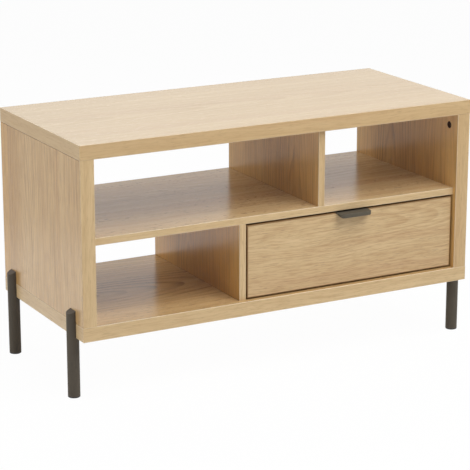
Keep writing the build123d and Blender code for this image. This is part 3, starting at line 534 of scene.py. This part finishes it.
def islands(node):
    """Boxes of a node's separate solids: corners that meet share a label, and labels spread over faces until still."""
    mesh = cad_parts[node].data
    points = np.empty(3 * len(mesh.vertices), np.float32)
    mesh.vertices.foreach_get("co", points)
    points = points.reshape(-1, 3)
    corners = np.empty(len(mesh.loops), np.int32)
    mesh.loops.foreach_get("vertex_index", corners)
    _, shared = np.unique(np.round(points * 1e5).astype(int), axis=0, return_inverse=True)
    shared = shared.ravel()
    faces = shared[corners.reshape(-1, 3)]
    label = np.arange(shared.max() + 1)
    still = False
    while not still:
        spread = label.copy()
        np.minimum.at(spread, faces, label[faces].min(axis=1)[:, None])
        still = bool((spread == label).all())
        label = spread
    groups = label[shared]
    return [(points[groups == g].min(axis=0), points[groups == g].max(axis=0)) for g in np.unique(groups)]


def ramp(values, low, high):
    """Smooth step of an array: 0 below low, 1 above high."""
    share = np.clip((values - low) / (high - low), 0, 1)
    return share * share * (3 - 2 * share)


def cross_recess(across, up, arm, width, blur):
    """A cross of two bars, 1 inside and 0 outside, with soft walls."""
    bars = [
        ramp(-abs(long), -arm - blur, -arm + blur) * ramp(-abs(short), -width / 2 - blur, -width / 2 + blur)
        for long, short in ((across, up), (up, across))
    ]
    return np.maximum(*bars)


def turned_grid(radius, height, sides):
    """Points of a profile carried round the Z axis: radius times cosine and sine of the turn, and its height."""
    turn = np.linspace(0, 2 * np.pi, sides, endpoint=False)
    radius, height = np.broadcast_arrays(radius, height)
    radius = np.broadcast_to(radius, (len(radius), sides))
    height = np.broadcast_to(height, (len(height), sides))
    return np.stack([radius * np.cos(turn), radius * np.sin(turn), height], axis=-1)


def closed_faces(rings, sides):
    """Faces of a closed turned grid whose first and last points are its poles: fans at the ends, quads between."""
    here = np.arange(sides)
    after = (here + 1) % sides
    first = 1 + here
    last = 1 + (rings - 1) * sides + here
    end = 1 + rings * sides
    start = 1 + np.arange(rings - 1)[:, None] * sides
    quads = np.stack([start + here, start + sides + here, start + sides + after, start + after], axis=-1)
    fan_in = np.stack([np.zeros(sides, int), first, 1 + after], axis=-1)
    fan_out = np.stack([last, np.full(sides, end), 1 + (rings - 1) * sides + after], axis=-1)
    return fan_in.tolist() + quads.reshape(-1, 4).tolist() + fan_out.tolist()


def turned_copies(name, grid, spots, material, body, node):
    """One piece of turned copies: the grid's Z axis laid along each spot's facing, its face at the spot."""
    rings, sides, _ = grid.shape
    first, last = grid[:1].mean(axis=1), grid[-1:].mean(axis=1)
    shape = np.concatenate([first, grid[1:-1].reshape(-1, 3), last])
    faces = closed_faces(rings - 2, sides)
    points, polygons = [], []
    for spot, facing in spots:
        turn = np.array(Vector((0, 0, 1)).rotation_difference(Vector(facing)).to_matrix())
        polygons += [[index + len(points) * len(shape) for index in face] for face in faces]
        points.append(shape @ turn.T + spot)
    mesh = bpy.data.meshes.new(name)
    mesh.from_pydata(np.concatenate(points).tolist(), [], polygons)
    mesh.polygons.foreach_set("use_smooth", np.ones(len(mesh.polygons), bool))
    mesh.set_sharp_from_angle(angle=math.radians(35))
    mesh.materials.append(material)
    piece = bpy.data.objects.new(name, mesh)
    bpy.context.scene.collection.objects.link(piece)
    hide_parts(node)
    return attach(piece, body)


def face_spot(box, facing):
    """The middle of a solid's end on the side that it faces."""
    low, high = box
    facing = np.array(facing, float)
    return (low + high) / 2 + facing * (high - low) / 2


def cam_grid(radius, length, fitting):
    """Cam disc: flat face sunk by a cross and inside a raised rim, chamfered round, straight sides, closed behind."""
    sides, rings = 72, 30
    blur, sink, reach = 0.0001, 0.0003, 0.62 * radius
    turn = np.linspace(0, 2 * np.pi, sides, endpoint=False)
    face = np.linspace(0, radius - fitting.chamfer, rings)[:, None]
    across, up = face * np.cos(turn), face * np.sin(turn)
    sunk = cross_recess(across, up, reach, fitting.cross_width, blur)
    rim = radius - fitting.chamfer - fitting.rim
    inside = ramp(-face, -rim - blur, -rim + blur) * np.ones(sides)
    height = -fitting.cross_depth * sunk - sink * inside
    back = np.array([-fitting.chamfer, -length / 2, -length, -length])[:, None] * np.ones(sides)
    wall = np.array([radius, radius, radius, 0])[:, None] * np.ones(sides)
    return turned_grid(np.vstack([face * np.ones(sides), wall]), np.vstack([height, back]), sides)


def screw_grid(head, shank, length, head_high, fitting, kind):
    """Screw: face sunk by a cross or a hexagon, head of its kind, then a shank whose radius ripples along a helix."""
    sides, rings, thread_steps = 36, 14, 6
    turn = np.linspace(0, 2 * np.pi, sides, endpoint=False)
    ones = np.ones(sides)
    face = np.linspace(0, 0.94 * head, rings)[:, None]
    across, up = face * np.cos(turn), face * np.sin(turn)
    if kind == "socket":
        wall = np.max([abs(across * math.cos(a) + up * math.sin(a)) for a in np.arange(3) * math.pi / 3], axis=0)
        sunk = ramp(-wall, -0.45 * head, -0.4 * head) * 0.6 * head_high
    else:
        sunk = cross_recess(across, up, 0.5 * head, 0.22 * head, 0.05 * head) * 0.45 * head
    dome = 0.45 * head_high * (face / head) ** 2 if kind == "pan" else 0 * face
    rim = 0.55 * head_high if kind == "pan" else 0.1 * head_high
    rise = np.arange(head_high, length - shank, fitting.pitch / thread_steps)
    ridge = abs((rise[:, None] / fitting.pitch + turn / (2 * np.pi)) % 1 - 0.5)
    thread = shank * (0.82 + 0.36 * ridge)
    under = [] if kind == "countersunk" else [(head, -head_high)]
    heads = np.array([(head, -rim), *under, (shank, -head_high)])
    tip = np.array([(0.6 * shank, -length + 0.4 * shank), (0, -length)])
    radius = np.vstack([face * ones, heads[:, :1] * ones, thread, tip[:, :1] * ones])
    height = np.vstack([-dome - sunk, heads[:, 1:] * ones, -rise[:, None] * ones, tip[:, 1:] * ones])
    return turned_grid(radius, height, sides)


# Operators


class DressBoards(bpy.types.Operator):
    """Oak foil on the carcass boards and printed bands on their edges"""

    bl_idname = "tvstand.boards"
    bl_label = "Carcass boards"

    def execute(self, context):
        look = context.scene.tv_stand.oak
        # Painted bounce light: the faces inside the bays (the dividers, the bottom and the right side's inner face)
        # get a strong honey tint, the warmer, deeper colour of light bounced between oak walls.
        inside = {"tint": (look.honey, 0.7), "lines": 1.3, "threads": 1.5}
        boards = {
            # Painted sheen: the top's pale tint stands for the reflection of the bright studio on its satin face.
            "top_panel": {
                "pith": (0.0, 0.04, 0.04, 0), "lines": 0.4, "flecks": 0.4, "threads": 0.2, "bands": 0.7,
                "tint": (look.painted_top_sheen, 0.34),
            },
            "bottom_panel": {
                "pith": (-0.02, 0.07, 0.215, 0), "ring": 0.014, "lines": 1.7, "specks": 0.5, "tint": (look.honey, 0.3),
            },
            "middle_shelf": {"pith": (0.06, 0.05, 0.07, 0), "lines": 0.8, "flecks": 1.3, "specks": 1.0},
            "left_side_panel": {
                "pith": (0.1, 0.05, 0.1, 0), "flecks": 2.5, "threads": 2.0, "bands": 0.9, "tint": (look.honey, 0.3),
                "stripe": 0.11,
            },
            "right_side_panel": {**inside, "pith": (0.06, 0.05, 0.08, 0), "inner": -1},
            "upper_divider": {**inside, "pith": (-0.1, 0.05, 0.08, 0)},
            "lower_divider": {
                "pith": (0.03, 0.02, 0.2, 0), "ring": 0.01, "tint": (look.honey, 1.0),
            },
        }
        for seed, (node, grain) in enumerate(boards.items()):
            order = "XYZ" if node in ("top_panel", "bottom_panel", "middle_shelf") else "ZYX"
            dress(oak_board(node, order, look, 5.3 * seed, **grain), node)
        # Each band's tint is partly the print's tone and partly painted light and shade, paler or darker as the light
        # falls on that band; the right side's band is tinted darker as painted shade. The share of painted highlight
        # along a band's rounded corners is given last.
        dress(oak_band("top_panel_edging", "XZY", look, 41, (look.tan, 0.3), "YZX", "X", arris_highlight=0.3), "top_panel_edging")
        foot = oak_band("bottom_panel_edging", "XZY", look, 44.7, (look.pale, 0.55), "YZX", "X", arris_highlight=0.6)
        dress(foot, "bottom_panel_edging")
        dress(oak_band("middle_shelf_edging", "XZY", look, 53, (look.pale, 0.6)), "middle_shelf_edging")
        uprights = {
            "left_side_edging": (look.pale, 0.3, 0.15),
            "right_side_edging": (look.tan, 0.5, 0.4),
            "upper_divider_edging": (look.tan, 0.2, 0.4),
            "lower_divider_edging": (look.pale, 0.9, 0.4),
        }
        for seed, (node, (shade, share, arris_highlight)) in enumerate(uprights.items()):
            dress(oak_band(node, "ZXY", look, 61 + 3.7 * seed, (shade, share), arris_highlight=arris_highlight), node)
        return {"FINISHED"}


class DressDrawer(bpy.types.Operator):
    """Oak front, foil box, fibreboard bottom and bay back, and the coated handle"""

    bl_idname = "tvstand.drawer"
    bl_label = "Drawer"

    def execute(self, context):
        settings = context.scene.tv_stand
        look, finish = settings.oak, settings.finish
        front = {"pith": (0.045, 0.03, 0, 0.3), "lines": 0.6, "flecks": 2.2, "threads": 0.9, "bands": 0.5}
        dress(oak_board("drawer_front", "XZY", look, 83, tint=(look.pale, 0.25), **front), "drawer_front")
        # Painted shade: the drawer front's edge bands take most of the dark glue colour and no gloss, so the gaps
        # round the drawer look shaded.
        edging = oak_band("drawer_front_edging", "XYZ", look, 87, (look.glue_and_gap_shade, 0.62), "ZYX", "X", 0.0, 0)
        dress(edging, "drawer_front_edging")
        dress(oak_board("drawer_left_side", "YZX", look, 91, pith=(0.4, 0.1, 0.02, 0)), "drawer_left_side")
        dress(oak_board("drawer_right_side", "YZX", look, 97, pith=(0.35, 0.1, 0.02, 0)), "drawer_right_side")
        dress(oak_board("drawer_back", "XZY", look, 103, pith=(0.3, 0.1, 0.02, 0)), "drawer_back")
        dress(fibreboard("drawer_bottom", "XYZ", 1, look, finish, 109), "drawer_bottom")
        dress(fibreboard("drawer_bay_back", "XZY", -1, look, finish, 113), "drawer_bay_back")
        dress(powder_coat("handle_coat", finish.pull, finish.pale_and_highlight), "drawer_handle")
        return {"FINISHED"}


class DressLegs(bpy.types.Operator):
    """Powder coat on the legs and their plates, moulded glides under them"""

    bl_idname = "tvstand.legs"
    bl_label = "Legs"

    def execute(self, context):
        settings = context.scene.tv_stand
        finish = settings.finish
        legs = [f"{end}_{side}_leg" for end in ("front", "rear") for side in ("left", "right")]
        low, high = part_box(legs[0])
        edge = -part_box("left_side_panel")[0].x
        cap = high.z, edge, settings.fitting.cap_drop / (-low.x - edge)
        dress(powder_coat("leg_coat", finish.coat, finish.pale_and_highlight, cap), *legs)
        dress(powder_coat("plate_coat", finish.coat, finish.pale_and_highlight), *[leg + "_plate" for leg in legs])
        dress(moulded("glide_plastic", finish.plastic, 0.5), *[leg + "_glide" for leg in legs])
        return {"FINISHED"}


class DressRunners(bpy.types.Operator):
    """Zinc-plated rails, profiles and rivets, nylon rollers"""

    bl_idname = "tvstand.runners"
    bl_label = "Runners"

    def execute(self, context):
        finish = context.scene.tv_stand.finish
        steel = [f"{side}_{strip}" for side in ("left", "right") for strip in ("rail", "drawer_profile")]
        rollers = [f"{side}_{strip}_roller" for side in ("left", "right") for strip in ("rail", "drawer")]
        dress(zinc_plate("runner_zinc", finish.zinc), *steel, "rail_rivets", "profile_rivets")
        dress(moulded("roller_nylon", finish.nylon, 0.42), *rollers)
        return {"FINISHED"}


class DressJoints(bpy.types.Operator):
    """Beech dowels and zinc cam bolts inside the board joints"""

    bl_idname = "tvstand.joints"
    bl_label = "Dowels and cam bolts"

    def execute(self, context):
        settings = context.scene.tv_stand
        for node in ("carcass_dowels", "drawer_dowels"):
            dress(beech_dowel(node, settings.finish, settings.oak), node)
        dress(zinc_plate("bolt_zinc", settings.finish.zinc), "carcass_cam_bolts", "drawer_cam_bolts")
        return {"FINISHED"}


class MakeCams(bpy.types.Operator):
    """Cam discs with a cross recess and a raised rim, in place of the plain discs"""

    bl_idname = "tvstand.cams"
    bl_label = "Cam discs"

    def execute(self, context):
        settings = context.scene.tv_stand
        metal = cast_metal("cam_metal", settings.finish.cam, settings.finish.pale_and_highlight)
        facings = {
            "left_side_panel": (1, 0, 0),
            "right_side_panel": (-1, 0, 0),
            "middle_shelf": (0, 0, -1),
            "upper_divider": (1, 0, 0),
            "lower_divider": (1, 0, 0),
            "drawer_left_side": (-1, 0, 0),
            "drawer_right_side": (1, 0, 0),
        }
        for node, body in (("carcass_cams", "carcass"), ("drawer_cams", "drawer")):
            spots = []
            for low, high in islands(node):
                middle = (low + high) / 2
                board = next(b for b in facings if all(np.array(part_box(b)[0]) < middle) and all(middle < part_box(b)[1]))
                spots.append((face_spot((low, high), facings[board]), facings[board]))
            sizes = sorted(high - low)
            grid = cam_grid(sizes[2] / 2, sizes[0], settings.fitting)
            turned_copies(node + "_worked", grid, spots, metal, body, node)
        return {"FINISHED"}


class MakeScrews(bpy.types.Operator):
    """Threaded screws with recessed heads, in place of the plain ones"""

    bl_idname = "tvstand.screws"
    bl_label = "Screws"

    def execute(self, context):
        settings = context.scene.tv_stand
        zinc = zinc_plate("screw_zinc", settings.finish.zinc)
        low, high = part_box("drawer_front")
        middle = (low.x + high.x) / 2
        screws = (
            ("carcass_screws", "carcass", "socket", (0, 0, -1), 0.003),
            ("leg_screws", "carcass", "countersunk", (0, 0, -1), 0.002),
            ("rail_screws", "carcass", "pan", "inward", settings.fitting.head),
            ("profile_screws", "drawer", "pan", "outward", settings.fitting.head),
            ("drawer_back_screws", "drawer", "countersunk", "outward", 0.00175),
            ("handle_screws", "drawer", "pan", (0, 1, 0), settings.fitting.head),
        )
        for node, body, kind, facing, head_high in screws:
            spots = []
            for box in islands(node):
                to_middle = 1.0 if (box[0][0] + box[1][0]) / 2 < middle else -1.0
                sides = {"inward": (to_middle, 0, 0), "outward": (-to_middle, 0, 0)}
                way = sides.get(facing, facing)
                spots.append((face_spot(box, way), way))
            sizes = sorted(box[1] - box[0])
            head = sizes[0] / 2
            shank = head / 2 if kind == "countersunk" else head * (0.7 if kind == "socket" else 0.55)
            grid = screw_grid(head, shank, sizes[2], head_high, settings.fitting, kind)
            turned_copies(node + "_worked", grid, spots, zinc, body, node)
        return {"FINISHED"}


class SetStage(bpy.types.Operator):
    """Pale floor, soft studio light and the camera"""

    bl_idname = "tvstand.stage"
    bl_label = "Studio"

    def execute(self, context):
        scene = context.scene
        stage = scene.tv_stand.stage
        make_floor(scene, stage.veil, stage.pool)
        make_world(scene, stage.ambient)
        for name, (place, side, mirrored) in SOFTBOXES.items():
            softbox(scene, name + "_softbox", place, side, getattr(stage, name), mirrored)
        camera = bpy.data.objects.new("camera", bpy.data.cameras.new("camera"))
        scene.collection.objects.link(camera)
        camera.location = stage.place
        camera.rotation_euler = (math.pi / 2 - stage.tilt, 0, -stage.turn)
        camera.data.sensor_width = SENSOR
        camera.data.lens = SENSOR * stage.focal / IMAGE_SIDE
        scene.camera = camera
        scene.view_settings.view_transform = "Standard"
        return {"FINISHED"}


def seen_directly(wire):
    """1 on rays from the camera, mirrors or glass, and 0 on the light that falls on things."""
    camera, mirror, glass = (
        wire.node("ShaderNodeLightPath", output=f"Is {kind} Ray") for kind in ("Camera", "Glossy", "Transmission")
    )
    return camera.larger(mirror).larger(glass)


def make_floor(scene, veil, pool):
    """Pale floor: a flat grid; seen directly most of it is plain white, and the rest keeps the shadow.

    Satin faces mirror a pool of brighter light on the floor round the stand.
    """
    reach = np.linspace(-FLOOR_REACH, FLOOR_REACH, FLOOR_POINTS)
    across, back = np.meshgrid(reach, reach)
    points = np.stack([across, back, 0 * across], axis=-1).reshape(-1, 3)
    cell = np.arange(FLOOR_POINTS - 1)
    corner = (cell[:, None] * FLOOR_POINTS + cell).reshape(-1, 1)
    mesh = bpy.data.meshes.new("floor")
    mesh.from_pydata(points.tolist(), [], (corner + [0, 1, FLOOR_POINTS + 1, FLOOR_POINTS]).tolist())
    material, coordinates = new_material("pale_floor")
    cloud = grains(coordinates, 0.6, 3.0)
    paint = (cloud * 0.3).mix((0.9, 0.9, 0.9, 1), (0.86, 0.86, 0.85, 1))
    matt = coordinates.node("ShaderNodeBsdfDiffuse", {}, {"Color": paint})
    far = coordinates.node("ShaderNodeVectorMath", {"operation": "LENGTH"}, {0: coordinates}, output=1)
    glow = (1 - far.step(*POOL_FADE)) * coordinates.node("ShaderNodeLightPath", output="Is Glossy Ray")
    white = coordinates.node("ShaderNodeEmission", {}, {"Color": (1, 1, 1, 1), "Strength": 1 + glow * (pool - 1)})
    mixed = coordinates.node("ShaderNodeMixShader", {}, {0: seen_directly(coordinates) * veil, 1: matt, 2: white})
    coordinates.node("ShaderNodeOutputMaterial", {}, {"Surface": mixed})
    mesh.materials.append(material)
    floor = bpy.data.objects.new("floor", mesh)
    scene.collection.objects.link(floor)


def make_world(scene, ambient):
    """White all round when seen directly, and a faint even light otherwise."""
    world = bpy.data.worlds.new("studio")
    world.use_nodes = True
    world.node_tree.nodes.clear()
    wire = Wire(world.node_tree)
    strength = ambient + seen_directly(wire) * (1 - ambient)
    background = wire.node("ShaderNodeBackground", {}, {"Color": (1, 1, 1, 1), "Strength": strength})
    wire.node("ShaderNodeOutputWorld", {}, {"Surface": background})
    scene.world = world


def softbox(scene, name, place, side, power, mirrored):
    """Square area light aimed at the middle of the stand, mirrored in satin faces or not."""
    light = bpy.data.lights.new(name, "AREA")
    light.shape = "SQUARE"
    light.size = side
    light.energy = power
    lamp = bpy.data.objects.new(name, light)
    lamp.location = place
    lamp.visible_glossy = mirrored
    lamp.rotation_euler = (LAMP_AIM - Vector(place)).to_track_quat("-Z", "Y").to_euler()
    scene.collection.objects.link(lamp)


class StandPanel(bpy.types.Panel):
    """Lists the steps that dress the TV stand"""

    bl_idname = "VIEW3D_PT_tv_stand"
    bl_label = "TV stand"
    bl_space_type = "VIEW_3D"
    bl_region_type = "UI"
    bl_category = "TV stand"

    def draw(self, context):
        settings = context.scene.tv_stand
        for operator in OPERATORS:
            self.layout.operator(operator.bl_idname)
        for group in (settings.oak, settings.finish, settings.fitting, settings.stage):
            box = self.layout.box()
            for name in group.__annotations__:
                box.prop(group, name)


GROUPS = (OakSettings, FinishSettings, FittingSettings, StageSettings, StandSettings)
OPERATORS = (DressBoards, DressDrawer, DressLegs, DressRunners, DressJoints, MakeCams, MakeScrews, SetStage)


def register():
    """Registers the classes and hangs the settings on the scene."""
    for cls in (*GROUPS, *OPERATORS, StandPanel):
        bpy.utils.register_class(cls)
    bpy.types.Scene.tv_stand = PointerProperty(type=StandSettings)


def unregister():
    """Takes the settings and the classes away again."""
    del bpy.types.Scene.tv_stand
    for cls in (StandPanel, *reversed(OPERATORS), *reversed(GROUPS)):
        bpy.utils.unregister_class(cls)


def main():
    """Dresses the stand piece by piece and sets the studio."""
    register()
    bpy.ops.tvstand.boards()
    bpy.ops.tvstand.drawer()
    bpy.ops.tvstand.legs()
    bpy.ops.tvstand.runners()
    bpy.ops.tvstand.joints()
    bpy.ops.tvstand.cams()
    bpy.ops.tvstand.screws()
    bpy.ops.tvstand.stage()


if __name__ == "__main__":
    main()
